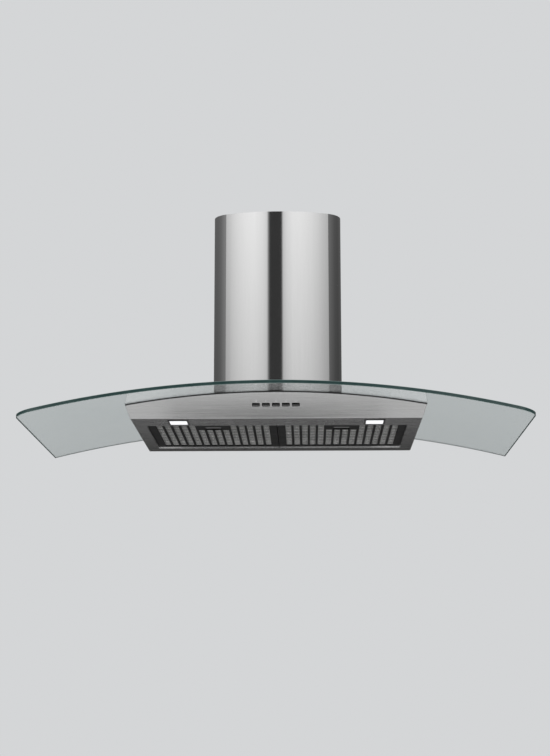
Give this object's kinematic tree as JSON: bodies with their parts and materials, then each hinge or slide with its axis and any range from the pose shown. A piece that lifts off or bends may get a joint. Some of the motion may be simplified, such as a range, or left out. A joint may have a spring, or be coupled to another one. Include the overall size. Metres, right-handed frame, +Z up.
{
  "type": "range hood",
  "caption": "Wall range hood with a bent glass canopy, steel body with buttons, lamps and hinged mesh filters, a fan, and a telescoping bow-fronted chimney.",
  "frame": {"origin": "middle of the four wall fixing holes, on the wall plane", "axes": "+X to the right of a person facing the hood, +Y into the wall, +Z up"},
  "size_m": [0.9, 0.49, 0.4325],
  "materials": {
    "tinted_glass": "clear, green-tinted edge",
    "black_rubber": "matte",
    "zinc_fixings": "zinc plated",
    "polished_fixings": "polished",
    "brushed_stainless": "fine brushed",
    "galvanised_sheet": "galvanised",
    "black_painted_metal": "satin",
    "aluminium_mesh": "expanded mesh",
    "black_plastic": "satin",
    "silver_button": "silver, satin",
    "lamp_lens": "frosted, lit",
    "grey_plastic": "matte",
    "lamp_housing_metal": "pressed",
    "cable_sheath": "matte",
    "motor_paint": "satin",
    "capacitor_case": "satin"
  },
  "bodies": {
    "hood": {"glass_canopy": "tinted_glass", "glass_seal": "black_rubber", "glass_bushes": "black_rubber", "motor_bushes": "black_rubber", "glass_nuts": "zinc_fixings", "body_screws": "zinc_fixings", "motor_screws": "zinc_fixings", "capacitor_nut": "zinc_fixings", "damper_pin": "zinc_fixings", "chimney_spacers": "zinc_fixings", "glass_bolts": "polished_fixings", "body_shell": "brushed_stainless", "chimney_lower": "brushed_stainless", "body_back_panel": "galvanised_sheet", "body_deck": "galvanised_sheet", "motor_box": "galvanised_sheet", "motor_box_lid": "galvanised_sheet", "scroll_left": "galvanised_sheet", "scroll_right": "galvanised_sheet", "outlet_adapter": "galvanised_sheet", "motor_bracket": "galvanised_sheet", "switch_block": "black_plastic", "lamp_bezel_left": "black_plastic", "lamp_bezel_right": "black_plastic", "cable_gland": "black_plastic", "lamp_lens_left": "lamp_lens", "lamp_lens_right": "lamp_lens", "outlet_collar": "grey_plastic", "control_box": "grey_plastic", "control_box_lid": "grey_plastic", "lamp_housing_left": "lamp_housing_metal", "lamp_housing_right": "lamp_housing_metal", "switch_cable": "cable_sheath", "lamp_cable_left": "cable_sheath", "lamp_cable_right": "cable_sheath", "motor": "motor_paint", "capacitor": "capacitor_case"},
    "left_filter": {"filter_frame_left": "black_painted_metal", "filter_mesh_left": "aluminium_mesh", "latch_plate_left": "black_plastic", "latch_spring_left": "zinc_fixings"},
    "right_filter": {"filter_frame_right": "black_painted_metal", "filter_mesh_right": "aluminium_mesh", "latch_plate_right": "black_plastic", "latch_spring_right": "zinc_fixings"},
    "left_latch": {"latch_left": "black_plastic"},
    "right_latch": {"latch_right": "black_plastic"},
    "fan_wheel": {"impeller": "galvanised_sheet", "motor_shaft": "zinc_fixings"},
    "front_damper": {"damper_flap_front": "grey_plastic"},
    "rear_damper": {"damper_flap_rear": "grey_plastic"},
    "upper_chimney": {"chimney_upper": "brushed_stainless", "chimney_bracket": "galvanised_sheet", "chimney_screws": "polished_fixings"},
    "push_button_1": {"button_1": "silver_button"},
    "push_button_2": {"button_2": "silver_button"},
    "push_button_3": {"button_3": "silver_button"},
    "push_button_4": {"button_4": "silver_button"},
    "push_button_5": {"button_5": "silver_button"}
  },
  "joints": [
    {"name": "left_filter_hinge", "type": "hinge", "parent": "hood", "child": "left_filter", "pos_m": [-0.119, -0.04025, -0.1755], "axis": [1, 0, 0], "range_deg": [0, 60]},
    {"name": "left_latch_slide", "type": "slide", "parent": "left_filter", "child": "left_latch", "axis": [0, 1, 0], "range_m": [0, 0.005], "stiffness_N_per_m": 250, "springref_m": -0.003, "deforming": ["latch_spring_left"]},
    {"name": "right_filter_hinge", "type": "hinge", "parent": "hood", "child": "right_filter", "pos_m": [0.119, -0.04025, -0.1755], "axis": [1, 0, 0], "range_deg": [0, 60]},
    {"name": "right_latch_slide", "type": "slide", "parent": "right_filter", "child": "right_latch", "axis": [0, 1, 0], "range_m": [0, 0.005], "stiffness_N_per_m": 250, "springref_m": -0.003, "deforming": ["latch_spring_right"]},
    {"name": "button_1_press", "type": "slide", "parent": "hood", "child": "push_button_1", "axis": [0, 0.6794, 0.7337], "range_m": [0, 0.003], "stiffness_N_per_m": 300, "springref_m": -0.002},
    {"name": "button_2_press", "type": "slide", "parent": "hood", "child": "push_button_2", "axis": [0, 0.6794, 0.7337], "range_m": [0, 0.003], "stiffness_N_per_m": 300, "springref_m": -0.002},
    {"name": "button_3_press", "type": "slide", "parent": "hood", "child": "push_button_3", "axis": [0, 0.6794, 0.7337], "range_m": [0, 0.003], "stiffness_N_per_m": 300, "springref_m": -0.002},
    {"name": "button_4_press", "type": "slide", "parent": "hood", "child": "push_button_4", "axis": [0, 0.6794, 0.7337], "range_m": [0, 0.003], "stiffness_N_per_m": 300, "springref_m": -0.002},
    {"name": "button_5_press", "type": "slide", "parent": "hood", "child": "push_button_5", "axis": [0, 0.6794, 0.7337], "range_m": [0, 0.003], "stiffness_N_per_m": 300, "springref_m": -0.002},
    {"name": "fan_spin", "type": "hinge", "parent": "hood", "child": "fan_wheel", "pos_m": [0, -0.112, -0.03], "axis": [1, 0, 0], "continuous": true},
    {"name": "front_damper_hinge", "type": "hinge", "parent": "hood", "child": "front_damper", "pos_m": [0, -0.135, 0.137], "axis": [-1, 0, 0], "range_deg": [0, 75]},
    {"name": "rear_damper_hinge", "type": "hinge", "parent": "hood", "child": "rear_damper", "pos_m": [0, -0.135, 0.137], "axis": [1, 0, 0], "range_deg": [0, 75]},
    {"name": "chimney_slide", "type": "slide", "parent": "hood", "child": "upper_chimney", "axis": [0, 0, 1], "range_m": [0, 0.28]}
  ]
}
